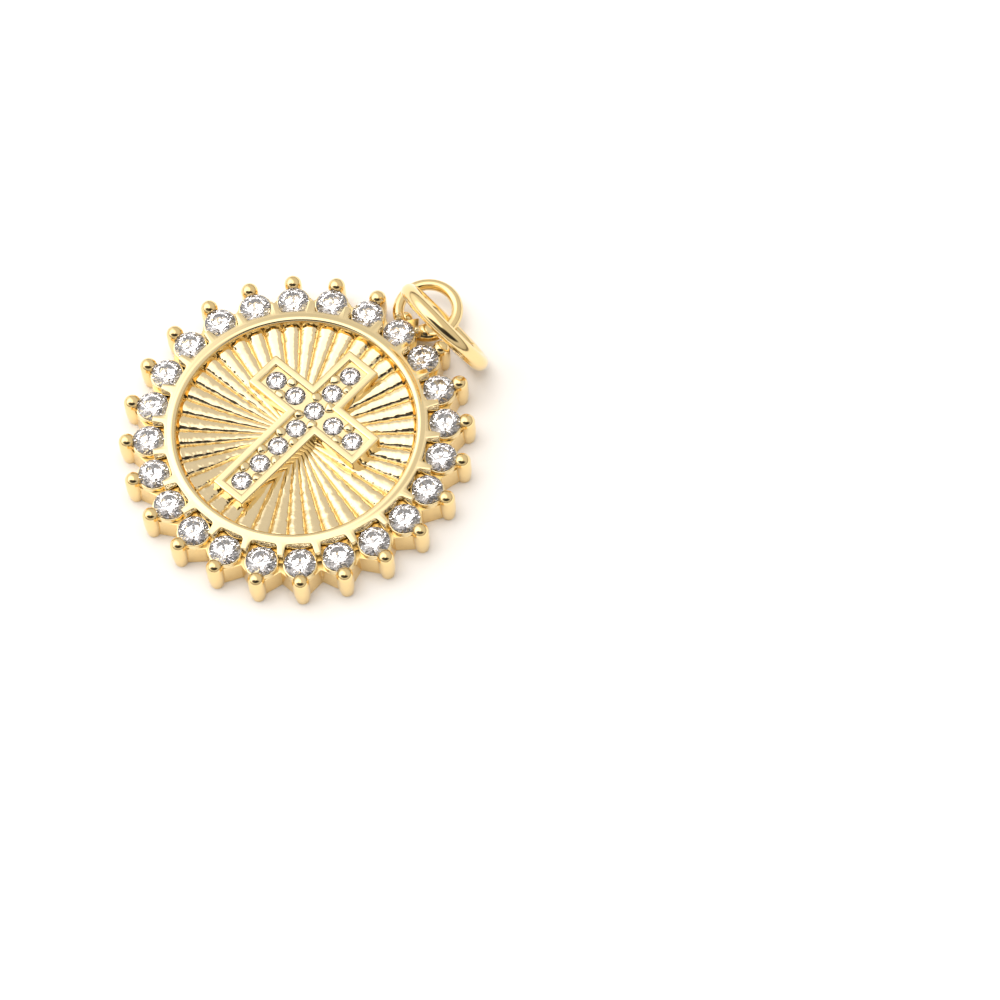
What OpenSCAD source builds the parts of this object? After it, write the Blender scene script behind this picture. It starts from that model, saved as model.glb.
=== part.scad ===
// Round cross pendant, lying on its back with its loop towards +Y.
// A cast disc has a star-shaped edge, posts that hold a border of stones, a sunburst dial inside
// a rim ring, and a raised cross set with smaller stones. A loop is soldered to one point of the
// star and carries a jump ring. All sizes are in millimetres.

/* [Disc] */
// Radius of the circle that the border stones stand on
stone_ring_r = 7.6; // [7.6:0.05:7.8]
// Number of border stones, and of points round the edge
border_count = 24; // [22:2:24]
// Thickness of the back plate at the border
plate_h = 1.4; // [1.35:0.05:1.45]
// Distance from the centre to the flat tips of the star-shaped edge, which end in the posts
star_tip_r = 8.56; // [8.54:0.02:8.6]
// Width of a flat tip
star_tip_w = 0.6; // [0.56:0.02:0.6]
// Distance from the centre to the bottom of the notches between two tips
star_notch_r = 7.9; // [7.85:0.05:7.95]
// Distance from the centre to the sharp point that carries the loop
loop_point_r = 9.1; // [9:0.05:9.2]

/* [Posts and rim ring] */
// Distance from the centre to the posts
post_ring_r = 8.7; // [8.68:0.01:8.72]
// Diameter of a post
post_d = 0.86; // [0.84:0.01:0.86]
// Diameter of a post's foot
post_foot_d = 0.72; // [0.7:0.01:0.74]
// Diameter of a post's round head
post_head_d = 0.88; // [0.88:0.01:0.9]
// Height of the head's centre above the back
post_head_z = 1.7; // [1.68:0.01:1.72]
// Radius round a border stone's middle that the posts are cut back to
post_cut_r = 0.8; // [0.79:0.01:0.8]
// Distance from the centre to the inside of the rim ring
rim_inner_r = 6.15; // [6.1:0.05:6.2]
// Width of the rim ring
rim_w = 0.44; // [0.42:0.01:0.46]
// Height of the rim ring's rounded top above the back
rim_top_z = 2.35; // [2.3:0.05:2.4]
// Distance from the centre to the ends of the prongs between the border stones
prong_r = 7.4; // [7.38:0.01:7.42]
// Height of the prongs and of the flange they start from above the back
prong_top_z = 2.3; // [2.28:0.01:2.32]

/* [Sunburst dial] */
// Number of rays
ray_count = 40; // [36:2:44]
// Height of the dial's middle above the back
ray_crest_z = 1.56; // [1.54:0.01:1.58]
// Height of the rays' crests above the back at the rim ring
ray_edge_z = 1.98; // [1.95:0.01:2]
// Depth of the grooves between the rays at the rim ring
ray_depth = 0.25; // [0.2:0.05:0.3]

/* [Stones] */
// Diameter of a border stone
border_stone_d = 1.62; // [1.58:0.02:1.64]
// Height of the border stones' girdles above the back
border_girdle_z = 1.78; // [1.76:0.01:1.8]
// Radius of the low collar that a border stone's seat is cut into
collar_r = 0.88; // [0.87:0.01:0.89]
// Diameter of a stone in the cross
cross_stone_d = 1.08; // [1.04:0.02:1.1]
// Height of the cross stones' girdles above the back
cross_girdle_z = 2.02; // [2:0.01:2.04]
// Space between a stone and the metal round it
seat_gap = 0.03; // [0.02:0.01:0.04]

/* [Cross] */
// Distance from one stone of the cross to the next
cross_pitch = 1.34; // [1.32:0.01:1.36]
// Number of stones in the long arm
arm_stones = 7; // [7:2:7]
// Number of stones in the cross bar
bar_stones = 5; // [5:2:5]
// Steps from the long arm's middle stone to the crossing, towards the loop
crossing_steps = 1; // [1:1:2]
// Width of an arm over its walls
arm_w = 2.06; // [2.04:0.02:2.08]
// Thickness of the wall round the cross
cross_wall = 0.42; // [0.4:0.01:0.43]
// Height of that wall's top above the back
cross_top_z = 2.3; // [2.28:0.01:2.34]
// Diameter of the small beads between the cross stones
pave_bead_d = 0.54; // [0.52:0.01:0.56]

/* [Back] */
// Radius of the recess in the back
recess_r = 6.08; // [6.05:0.01:6.1]
// Depth of the recess
recess_depth = 0.6; // [0.55:0.05:0.65]
// Diameter of the hole under a border stone
border_hole_d = 1; // [0.96:0.02:1.04]
// Diameter of the hole under a cross stone
cross_hole_d = 0.96; // [0.92:0.02:0.98]
// Diameter of a dimple in the back
dimple_d = 0.66; // [0.6:0.02:0.68]
// Depth of a dimple
dimple_depth = 0.18; // [0.14:0.02:0.2]

/* [Loop and jump ring] */
// Distance from the disc's centre to the loop's centre
loop_y = 9.76; // [9.74:0.01:9.8]
// Height of the loop's wire above the back
loop_z = 1.3; // [1.3:0.01:1.32]
// Radius of the loop, to the middle of its wire
loop_r = 1.52; // [1.5:0.01:1.54]
// Diameter of the loop's wire
loop_wire_d = 0.6; // [0.56:0.02:0.6]
// Diameter of the drop of solder between the loop and the disc
solder_d = 1; // [0.96:0.02:1.04]
// Radius of the jump ring, to the middle of its wire
jump_r = 2.55; // [2.52:0.01:2.58]
// Diameter of the jump ring's wire
jump_wire_d = 0.86; // [0.82:0.02:0.86]
// Lean of the jump ring from lying flat
jump_tilt = 70; // [69:1:71]
// Turn of the jump ring about the upright axis
jump_turn = -8; // [-9:1:-7]
// Angle that the cut through the jump ring's wire spans
jump_cut = 1; // [0.8:0.1:1.4]

/* [Hidden] */
$fn = 40;

border_step = 360 / border_count;
loop_angle = 90;
cross_count = arm_stones + bar_stones - 1;

// The origin is the middle of the rectangle that the whole pendant covers
disc_reach = post_ring_r + post_head_d / 2;
loop_reach = loop_y + loop_r + loop_wire_d / 2;
disc_y = (disc_reach - loop_reach) / 2;

// A brilliant cut, as parts of the stone's diameter
gem_table_r = 0.28;
gem_star_r = 0.39;
gem_lower_r = 0.13;
gem_crown_h = 0.15;
gem_girdle_h = 0.04;
gem_pavilion_h = 0.42;
gem_sides = 8;
gem_half_step = 180 / gem_sides;

// The crossing point is a whole number of stones above the disc's centre
crossing_y = crossing_steps * cross_pitch;
arm_l = (arm_stones - 1) * cross_pitch + 2.08;
bar_l = (bar_stones - 1) * cross_pitch + 2.04;
cross_floor_z = cross_girdle_z + 0.06;
cross_stone_places = concat(
    [for (i = [0:arm_stones - 1]) [0, (i - (arm_stones - 1) / 2) * cross_pitch]],
    [for (i = [0:bar_stones - 1]) if (i != (bar_stones - 1) / 2)
        [(i - (bar_stones - 1) / 2) * cross_pitch, crossing_y]]
);

// Rings of dimples on the back, as [radius, number round the full ring, angle of the first one]
recess_dimple_rings = [
    [1.2, 6, 44],
    [2.27, 13, 11],
    [3.4, 18, 8.5],
    [4.5, 26, 6.8],
    [5.6, 32, 0.3]
];
border_dimple_rings = [[6.49, 38, 5]];
dimple_hole_space = cross_hole_d / 2 + dimple_d / 2 + 0.04;
dimple_ball_r = (pow(dimple_d / 2, 2) + pow(dimple_depth, 2)) / (2 * dimple_depth);

// Overlap of pieces that are fused, and overrun of cuts past a face
bury = 0.1;
overrun = 1;

// The jump ring stands on the surface and passes through the loop, a little off its middle
jump_z = jump_r * sin(jump_tilt) + jump_wire_d / 2;
jump_pass = 180 - asin((jump_z - loop_z) / (jump_r * sin(jump_tilt)));
jump_pass_x = jump_r * cos(jump_pass);
jump_pass_y = jump_r * sin(jump_pass) * cos(jump_tilt);
jump_pass_offset = 0.12;
jump_x = jump_pass_offset - jump_pass_x * cos(jump_turn) + jump_pass_y * sin(jump_turn);
jump_y = loop_y + jump_pass_offset - jump_pass_x * sin(jump_turn) - jump_pass_y * cos(jump_turn);
jump_cut_place = 70;

function node_name(kind, k) = str(kind, "_", k < 10 ? "0" : "", k);

function polar(r, angle) = [r * cos(angle), r * sin(angle)];

function raised(point, z) = [point[0], point[1], z];

// Points of an arc from one angle to another, about a centre
function arc(centre, r, from, to, steps) =
    [for (i = [0:steps]) centre + polar(r, from + (to - from) * i / steps)];

function clear_of_cross_holes(place) =
    min([for (hole = cross_stone_places) norm(place - hole)]) > dimple_hole_space;

// The brilliant's points, ring by ring: culet, lower facets, girdle, star facets and table.
// Its height is counted from the middle of the girdle.
function gem_points(d) = let (
    girdle = gem_girdle_h / 2 * d,
    star_z = gem_crown_h * (0.5 - gem_star_r * cos(gem_half_step)) / (0.5 - gem_table_r),
    lower_z = gem_pavilion_h * (1 - 2 * gem_lower_r * cos(gem_half_step))
) concat(
    [[0, 0, -girdle - gem_pavilion_h * d]],
    [for (i = [0:gem_sides - 1])
        raised(polar(gem_lower_r * d, (2 * i + 1) * gem_half_step), -girdle - lower_z * d)],
    [for (i = [0:2 * gem_sides - 1]) raised(polar(d / 2, i * gem_half_step), -girdle)],
    [for (i = [0:2 * gem_sides - 1]) raised(polar(d / 2, i * gem_half_step), girdle)],
    [for (i = [0:gem_sides - 1])
        raised(polar(gem_star_r * d, (2 * i + 1) * gem_half_step), girdle + star_z * d)],
    [for (i = [0:gem_sides - 1])
        raised(polar(gem_table_r * d, 2 * i * gem_half_step), girdle + gem_crown_h * d)]
);

// The brilliant's facets, as the numbers of their corners
function gem_facets() = let (
    n = gem_sides,
    lower = 1,
    below = lower + n,
    above = below + 2 * n,
    star = above + 2 * n,
    table = star + n
) concat(
    [for (i = [0:n - 1]) [0, lower + i, below + 2 * i, lower + (i + n - 1) % n]],
    [for (i = [0:n - 1]) [lower + i, below + 2 * i + 1, below + 2 * i]],
    [for (i = [0:n - 1]) [lower + i, below + (2 * i + 2) % (2 * n), below + 2 * i + 1]],
    [for (i = [0:2 * n - 1])
        [below + i, below + (i + 1) % (2 * n), above + (i + 1) % (2 * n), above + i]],
    [for (i = [0:n - 1]) [star + i, above + 2 * i, above + 2 * i + 1]],
    [for (i = [0:n - 1]) [star + i, above + 2 * i + 1, above + (2 * i + 2) % (2 * n)]],
    [for (i = [0:n - 1]) [table + i, star + (i + n - 1) % n, above + 2 * i, star + i]],
    [for (i = [0:n - 1]) [table + i, star + i, table + (i + 1) % n]],
    [[for (i = [0:n - 1]) table + i]]
);

module gem(d) {
    polyhedron(points = gem_points(d), faces = gem_facets());
}

// The room for one stone: the hole under it, a cone for its pavilion and a lid over its crown
module seat(d, hole_d, girdle_z) {
    girdle = gem_girdle_h / 2 * d;
    star_z = gem_crown_h * (0.5 - gem_star_r * cos(gem_half_step)) / (0.5 - gem_table_r);
    lower_z = gem_pavilion_h * (1 - 2 * gem_lower_r * cos(gem_half_step));
    cone_run = (0.5 - gem_lower_r) / lower_z;
    hole_z = -girdle - (d / 2 + seat_gap - hole_d / 2) / cone_run;
    translate([0, 0, girdle_z])
        rotate_extrude()
            polygon([
                [0, -girdle_z - overrun],
                [hole_d / 2, -girdle_z - overrun],
                [hole_d / 2, hole_z],
                [d / 2 + seat_gap, -girdle],
                [d / 2 + seat_gap, girdle],
                [gem_star_r * d + seat_gap, girdle + star_z * d + seat_gap],
                [gem_table_r * d + seat_gap, girdle + gem_crown_h * d + seat_gap],
                [0, girdle + gem_crown_h * d + seat_gap]
            ]);
}

// Places its children at border place k, with +Y pointing away from the disc's centre.
// Place 0 is at the loop.
module at_border(k, r) {
    rotate([0, 0, loop_angle + k * border_step - 90])
        translate([0, r, 0])
            children();
}

// The star-shaped outline of the disc, with a sharp point under the loop
module star_outline() {
    tips = [for (k = [0:border_count - 1]) let (turn = loop_angle + k * border_step)
        each concat(
            k == 0 ? [polar(loop_point_r, turn)] : [
                polar(star_tip_r, turn) - polar(star_tip_w / 2, turn + 90),
                polar(star_tip_r, turn) + polar(star_tip_w / 2, turn + 90)
            ],
            [polar(star_notch_r, turn + border_step / 2)]
        )];
    polygon(tips);
}

// A post narrows towards its foot, and its round head is cut back beside the stone
module post() {
    foot_h = 0.3;
    cylinder(d1 = post_foot_d, d2 = post_d, h = foot_h);
    translate([0, 0, foot_h])
        cylinder(d = post_d, h = post_head_z - foot_h);
    difference() {
        translate([0, 0, post_head_z])
            sphere(d = post_head_d);
        translate([0, stone_ring_r - post_ring_r, 0])
            cylinder(r = post_cut_r, h = post_head_z + post_head_d);
    }
}

// The metal round the seat of a border stone ends a little below the stone's girdle
module collar() {
    translate([0, 0, plate_h - bury])
        cylinder(r = collar_r, h = border_girdle_z - 0.08 - plate_h + bury);
}

// Two small beads hold the stone beside the loop, where there is no room for a post
module loop_side_beads() {
    bead_z = border_girdle_z + 0.14;
    for (side = [-1, 1])
        translate([side * 0.66, stone_ring_r + 0.7, 0]) {
            translate([0, 0, plate_h - bury])
                cylinder(d = 0.4, h = bead_z - plate_h + bury);
            translate([0, 0, bead_z])
                sphere(d = 0.46);
        }
}

module rim_ring() {
    bow_r = rim_w / 2;
    middle = [rim_inner_r + bow_r, rim_top_z - bow_r];
    rotate_extrude()
        polygon(concat(
            [[rim_inner_r, plate_h - bury], [rim_inner_r + rim_w, plate_h - bury]],
            arc(middle, bow_r, 0, 180, 8)
        ));
}

// A flat flange outside the rim ring, cut away beside each stone, leaves the prongs
module prongs() {
    side = border_stone_d / 2 + seat_gap;
    translate([0, 0, plate_h - bury])
        linear_extrude(prong_top_z - plate_h + bury)
            difference() {
                circle(r = prong_r);
                circle(r = rim_inner_r + rim_w / 2);
                for (k = [0:border_count - 1])
                    at_border(k, stone_ring_r)
                        polygon([
                            [-0.77 * side, -1.01 * side],
                            [0.77 * side, -1.01 * side],
                            [0.95 * side, -0.36 * side],
                            [1.02 * side, 0],
                            [-1.02 * side, 0],
                            [-0.95 * side, -0.36 * side]
                        ]);
            }
}

// Rounded rays in a shallow bowl, which grow deeper towards the rim ring
module sunburst_dial() {
    edge_r = rim_inner_r + rim_w / 2;
    bottom_z = plate_h - bury;
    sides = 4;
    lines = ray_count * sides;
    bow = [0, 0.72, 1, 0.72];
    rise = ray_edge_z - ray_crest_z;
    top = [for (i = [0:lines - 1])
        raised(polar(edge_r, (i - sides / 2) * 360 / lines),
            ray_crest_z + (rise - ray_depth * (1 - bow[i % sides])) * edge_r / rim_inner_r)];
    bottom = [for (p = top) [p[0], p[1], bottom_z]];
    polyhedron(
        points = concat(top, bottom, [[0, 0, ray_crest_z], [0, 0, bottom_z]]),
        faces = [for (i = [0:lines - 1]) let (next = (i + 1) % lines) each [
            [2 * lines, next, i],
            [i, next, lines + next, lines + i],
            [2 * lines + 1, lines + i, lines + next]
        ]]
    );
}

module cross_outline(inset) {
    square([arm_w - 2 * inset, arm_l - 2 * inset], center = true);
    translate([0, crossing_y])
        square([bar_l - 2 * inset, arm_w - 2 * inset], center = true);
}

module cross_block() {
    difference() {
        translate([0, 0, plate_h - bury])
            linear_extrude(cross_top_z - plate_h + bury)
                cross_outline(0);
        translate([0, 0, cross_floor_z])
            linear_extrude(cross_top_z)
                cross_outline(cross_wall);
    }
}

// Beads along both walls, halfway between two stones of the cross
module pave_beads() {
    side = arm_w / 2 - cross_wall - pave_bead_d / 4;
    arm_middles = [for (i = [1:arm_stones - 1]) (i - arm_stones / 2) * cross_pitch];
    bar_middles = [for (i = [1:bar_stones - 1]) (i - bar_stones / 2) * cross_pitch];
    for (y = arm_middles, x = [-side, side])
        translate([x, y, cross_floor_z - 0.04])
            sphere(d = pave_bead_d);
    for (x = bar_middles, y = [-side, side])
        if (abs(x) > cross_pitch)
            translate([x, crossing_y + y, cross_floor_z - 0.04])
                sphere(d = pave_bead_d);
}

module solder_drop(d) {
    rotate_extrude()
        polygon(arc([0, 0], d / 2, -90, 90, 8));
}

module soldered_loop() {
    translate([0, loop_y, loop_z])
        rotate_extrude()
            translate([loop_r, 0])
                circle(d = loop_wire_d);
    translate([0.8, loop_point_r - 0.35, loop_z - 0.07])
        solder_drop(solder_d);
    translate([-0.6, loop_point_r - 0.38, loop_z - 0.17])
        solder_drop(0.72 * solder_d);
}

module dimples(rings, face_z) {
    for (ring = rings, i = [0:ring[1] - 1]) {
        place = polar(ring[0], ring[2] + i * 360 / ring[1]);
        if (clear_of_cross_holes(place))
            translate(raised(place, face_z - dimple_ball_r + dimple_depth))
                sphere(r = dimple_ball_r);
    }
}

module cast_body() {
    color("gold")
        translate([0, disc_y, 0])
            difference() {
                union() {
                    linear_extrude(plate_h)
                        star_outline();
                    for (k = [0:border_count - 1])
                        at_border(k, stone_ring_r)
                            collar();
                    for (k = [1:border_count - 1])
                        at_border(k, post_ring_r)
                            post();
                    loop_side_beads();
                    rim_ring();
                    prongs();
                    sunburst_dial();
                    cross_block();
                    pave_beads();
                    soldered_loop();
                }
                translate([0, 0, -overrun])
                    cylinder(r = recess_r, h = recess_depth + overrun);
                for (k = [0:border_count - 1])
                    at_border(k, stone_ring_r)
                        seat(border_stone_d, border_hole_d, border_girdle_z);
                for (place = cross_stone_places)
                    translate(place)
                        seat(cross_stone_d, cross_hole_d, cross_girdle_z);
                dimples(recess_dimple_rings, recess_depth);
                dimples(border_dimple_rings, 0);
            }
}

module jump_ring() {
    color("gold")
        translate([jump_x, disc_y + jump_y, jump_z])
            rotate([-jump_tilt, 0, jump_turn])
                rotate([0, 0, jump_cut_place + jump_cut / 2])
                    rotate_extrude(angle = 360 - jump_cut)
                        translate([jump_r, 0])
                            circle(d = jump_wire_d);
}

module border_stone(k) {
    color("lavender")
        translate([0, disc_y, border_girdle_z])
            at_border(k - 1, stone_ring_r)
                gem(border_stone_d);
}

module cross_stone(k) {
    color("lavender")
        translate(raised(cross_stone_places[k - 1] + [0, disc_y], cross_girdle_z))
            gem(cross_stone_d);
}

cast_body();
jump_ring();
for (k = [1:border_count])
    border_stone(k);
for (k = [1:cross_count])
    cross_stone(k);
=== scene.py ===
"""Looks of a round cross pendant, lying face up on a white floor.

A gold-plated charm: a disc with a star-shaped edge, posts that hold a border of clear stones, a
rim ring round a sunburst dial, and a raised cross set with smaller stones. A soldered loop carries
a jump ring. The classes hold their sizes in millimetres, in a frame whose origin is the disc's
centre at its back, with +Y towards the loop and +Z out of the front.
"""

import logging
import math
from dataclasses import dataclass, field
from enum import Enum

import bmesh
import bpy
from bmesh.types import BMEdge, BMesh, BMFace, BMVert
from bpy.types import Material, NodeSocket, Object
from mathutils import Matrix, Vector, noise


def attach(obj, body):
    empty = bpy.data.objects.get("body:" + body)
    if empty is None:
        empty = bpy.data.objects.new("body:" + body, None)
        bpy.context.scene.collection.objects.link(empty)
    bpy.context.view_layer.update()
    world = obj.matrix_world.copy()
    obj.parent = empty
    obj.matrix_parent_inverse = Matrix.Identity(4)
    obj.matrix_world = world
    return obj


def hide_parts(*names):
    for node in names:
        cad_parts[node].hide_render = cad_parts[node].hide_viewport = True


log = logging.getLogger("cross_pendant")
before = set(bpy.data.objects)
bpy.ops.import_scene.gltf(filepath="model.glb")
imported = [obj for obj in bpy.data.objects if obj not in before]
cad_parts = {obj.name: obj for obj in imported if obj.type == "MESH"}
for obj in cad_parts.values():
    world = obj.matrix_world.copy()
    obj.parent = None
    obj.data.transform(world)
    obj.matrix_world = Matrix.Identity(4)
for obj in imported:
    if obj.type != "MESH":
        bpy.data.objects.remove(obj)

MM = 0.001
BODY = "root"
# How far a cutter reaches past the face that it opens, in millimetres
OVERRUN = 0.5
# The steps of a small quarter-round
QUARTER = (0.0, math.pi / 6, math.pi / 3, math.pi / 2)


def disc_middle() -> float:
    """Finds the disc's centre, which is where the long arm's middle stone stands.

    Returns:
        Its place along Y, in millimetres.
    """
    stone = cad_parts["cross_stone_04"]
    corners = [stone.matrix_world @ Vector(corner) for corner in stone.bound_box]
    return (min(c.y for c in corners) + max(c.y for c in corners)) / 2 / MM


DISC_Y = disc_middle()


@dataclass(frozen=True)
class DiscLayout:
    """The shared sizes of the cast disc, in millimetres and degrees."""

    border_count: int = 24
    loop_angle: float = 90.0
    stone_ring_r: float = 7.6
    plate_h: float = 1.4
    sink: float = 0.1
    recess_depth: float = 0.6
    rim_inner_r: float = 6.15
    border_stone_r: float = 0.81
    cross_stone_r: float = 0.54
    border_hole_r: float = 0.5
    cross_hole_r: float = 0.48
    hole_lip: float = 0.07
    border_girdle_z: float = 1.78
    cross_girdle_z: float = 2.02
    seat_gap: float = 0.03
    cross_pitch: float = 1.34
    arm_stones: int = 7
    bar_stones: int = 5

    @property
    def border_step(self) -> float:
        """Angle from one border stone to the next."""
        return 360.0 / self.border_count

    @property
    def crossing_y(self) -> float:
        """Place of the cross bar along the long arm."""
        return self.cross_pitch

    @property
    def root_z(self) -> float:
        """Height at which the forms on the plate start, a little inside it."""
        return self.plate_h - self.sink

    def cross_places(self) -> list[Vector]:
        """Lays out the cross stones, seen from the front.

        Returns:
            Their centres, first those of the long arm and then the rest of the bar.
        """
        arm = [
            Vector((0.0, (i - (self.arm_stones - 1) / 2) * self.cross_pitch, 0.0))
            for i in range(self.arm_stones)
        ]
        middle = (self.bar_stones - 1) / 2
        bar = [
            Vector(((i - middle) * self.cross_pitch, self.crossing_y, 0.0))
            for i in range(self.bar_stones)
            if i != middle
        ]
        return arm + bar

    def border_turn(self, place: float) -> Matrix:
        """Turn that takes +Y to the border place with this number.

        Args:
            place: number of the border place, counted from the loop; halves lie between two.

        Returns:
            A turn about the disc's axis.
        """
        angle = self.loop_angle + place * self.border_step - 90.0
        return Matrix.Rotation(math.radians(angle), 4, "Z")


@dataclass(frozen=True)
class StoneCut:
    """The cut of a stone that its seat follows, in shares of the stone's width."""

    half_girdle: float = 0.02
    crown_h: float = 0.15
    table_r: float = 0.28
    star_r: float = 0.39
    pavilion_h: float = 0.42
    lower_r: float = 0.13
    facet_turn: float = 22.5

    @property
    def star_z(self) -> float:
        """Height of the crown's outer corners above the girdle."""
        inset = 0.5 - self.star_r * math.cos(math.radians(self.facet_turn))
        return self.crown_h * inset / (0.5 - self.table_r)

    @property
    def slope(self) -> float:
        """How far the underside narrows for each step down."""
        share = 1 - 2 * self.lower_r * math.cos(math.radians(self.facet_turn))
        return (0.5 - self.lower_r) / (self.pavilion_h * share)


LAYOUT = DiscLayout()
CUT = StoneCut()


class Workshop:
    """Mesh steps that every piece of the pendant uses."""

    @staticmethod
    def lathe(profile: list[tuple[float, float]], sides: int) -> BMesh:
        """Spins a profile about the Z axis.

        Args:
            profile: points as (radius, height); a closed ring repeats its first point.
            sides: number of steps round the axis.

        Returns:
            A closed mesh.
        """
        bm = bmesh.new()
        verts = [bm.verts.new((r, 0.0, z)) for r, z in profile]
        edges = [bm.edges.new(pair) for pair in zip(verts, verts[1:])]
        bmesh.ops.spin(
            bm,
            geom=verts + edges,
            cent=(0, 0, 0),
            axis=(0, 0, 1),
            angle=math.tau,
            steps=sides,
            use_merge=True,
        )
        bmesh.ops.remove_doubles(bm, verts=bm.verts, dist=1e-5)
        bmesh.ops.recalc_face_normals(bm, faces=bm.faces)
        return bm

    @staticmethod
    def copies(source: BMesh, places: list[Matrix]) -> BMesh:
        """Joins copies of one mesh.

        Args:
            source: the mesh to repeat; it is freed.
            places: where each copy goes.

        Returns:
            One mesh with all the copies.
        """
        sample = bpy.data.meshes.new("copy_sample")
        source.to_mesh(sample)
        source.free()
        joined = bmesh.new()
        for place in places:
            before = len(joined.verts)
            joined.from_mesh(sample)
            joined.verts.ensure_lookup_table()
            bmesh.ops.transform(joined, matrix=place, verts=joined.verts[before:])
        bpy.data.meshes.remove(sample)
        return joined

    @staticmethod
    def prism(outline: list[tuple[float, float]], low: float, high: float) -> BMesh:
        """Extrudes an outline.

        Args:
            outline: corners of a flat outline, counter-clockwise.
            low: height of the bottom face.
            high: height of the top face.

        Returns:
            A closed prism.
        """
        bm = bmesh.new()
        face = bm.faces.new([bm.verts.new((x, y, low)) for x, y in outline])
        Workshop.draw_out(bm, face, high - low)
        bmesh.ops.recalc_face_normals(bm, faces=bm.faces)
        return bm

    @staticmethod
    def draw_out(bm: BMesh, face: BMFace, rise: float) -> None:
        """Extrudes a level face straight up or down.

        Args:
            bm: the mesh that it belongs to.
            face: the face.
            rise: how far it goes up; less than 0 goes down.
        """
        grown = bmesh.ops.extrude_face_region(bm, geom=[face])["geom"]
        moved = [part for part in grown if isinstance(part, BMVert)]
        bmesh.ops.translate(bm, verts=moved, vec=(0, 0, rise))

    @staticmethod
    def turning_edges(bm: BMesh, least_turn: float) -> list[BMEdge]:
        """Finds the edges at which the surface turns.

        Args:
            bm: the mesh.
            least_turn: smallest turn between two faces, in degrees, that counts.

        Returns:
            The edges, in the mesh's own order.
        """
        limit = math.radians(least_turn)
        return [e for e in bm.edges if len(e.link_faces) == 2 and e.calc_face_angle(0.0) > limit]

    @staticmethod
    def soften(bm: BMesh, edges: list[BMEdge], width: float, steps: int) -> None:
        """Rounds some edges.

        Args:
            bm: the mesh to round.
            edges: the edges.
            width: width of the rounding.
            steps: number of steps across it.
        """
        bmesh.ops.bevel(
            bm,
            geom=edges,
            offset=width,
            offset_type="OFFSET",
            segments=steps,
            profile=0.5,
            affect="EDGES",
            clamp_overlap=True,
            material=-1,
        )

    @staticmethod
    def carve(body: BMesh, tool: BMesh, join: bool = False) -> BMesh:
        """Cuts one mesh with another, or joins them.

        Args:
            body: the mesh that is kept; it is freed.
            tool: the mesh that cuts; it is freed.
            join: True to fuse the two in place of cutting.

        Returns:
            The carved mesh.
        """
        kept = []
        for part, name in ((body, "carve_body"), (tool, "carve_tool")):
            mesh = bpy.data.meshes.new(name)
            part.to_mesh(mesh)
            part.free()
            kept.append(bpy.data.objects.new(name, mesh))
            bpy.context.scene.collection.objects.link(kept[-1])
        step = kept[0].modifiers.new("carve", "BOOLEAN")
        step.operation = "UNION" if join else "DIFFERENCE"
        step.solver = "MANIFOLD"
        step.object = kept[1]
        graph = bpy.context.evaluated_depsgraph_get()
        carved = bpy.data.meshes.new_from_object(kept[0].evaluated_get(graph))
        result = bmesh.new()
        result.from_mesh(carved)
        bpy.data.meshes.remove(carved)
        for thing in kept:
            mesh = thing.data
            bpy.data.objects.remove(thing)
            bpy.data.meshes.remove(mesh)
        return result

    @staticmethod
    def mark_sharp(bm: BMesh, sharp: float, crisp_flats: bool) -> None:
        """Sets which edges look sharp.

        Args:
            bm: the mesh to mark.
            sharp: turn between two faces, in degrees, past which an edge looks sharp.
            crisp_flats: True to keep level faces apart from whatever meets them.
        """
        for face in bm.faces:
            face.smooth = True
        limit = math.radians(sharp)
        for edge in bm.edges:
            level = {abs(face.normal.z) > 0.9999 for face in edge.link_faces}
            apart = crisp_flats and len(level) > 1
            edge.smooth = edge.calc_face_angle(0.0) < limit and not apart

    @staticmethod
    def piece(
        bm: BMesh,
        name: str,
        material: Material,
        sharp: float,
        weighted: bool = True,
        crisp_flats: bool = False,
    ) -> Object:
        """Turns a mesh in millimetres into a finished piece of the cast body.

        Args:
            bm: the mesh about the disc's centre; it is freed.
            name: name of the piece.
            material: its finish.
            sharp: turn between two faces, in degrees, past which an edge looks sharp.
            weighted: True where large flat faces set the shading of the roundings beside them.
            crisp_flats: True to keep level faces apart from whatever meets them.

        Returns:
            The object, in metres in the pendant's frame.
        """
        bmesh.ops.remove_doubles(bm, verts=bm.verts, dist=1e-4)
        bmesh.ops.translate(bm, verts=bm.verts, vec=(0, DISC_Y, 0))
        bmesh.ops.recalc_face_normals(bm, faces=bm.faces)
        Workshop.mark_sharp(bm, sharp, crisp_flats)
        bmesh.ops.scale(bm, verts=bm.verts, vec=(MM, MM, MM))
        mesh = bpy.data.meshes.new(name)
        bm.to_mesh(mesh)
        bm.free()
        mesh.materials.append(material)
        made = bpy.data.objects.new(name, mesh)
        bpy.context.scene.collection.objects.link(made)
        if weighted:
            shade = made.modifiers.new("shade", "WEIGHTED_NORMAL")
            shade.keep_sharp = True
            shade.weight = 100
        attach(made, BODY)
        log.info("%s: %d faces", name, len(mesh.polygons))
        return made


def mouth_rounding(r: float, z: float, lip: float) -> list[tuple[float, float]]:
    """Profile of the rounded edge where a hole of radius r opens through a face at height z."""
    return [(r + lip * (1 - math.sin(a)), z + lip * (1 - math.cos(a))) for a in QUARTER]


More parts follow.
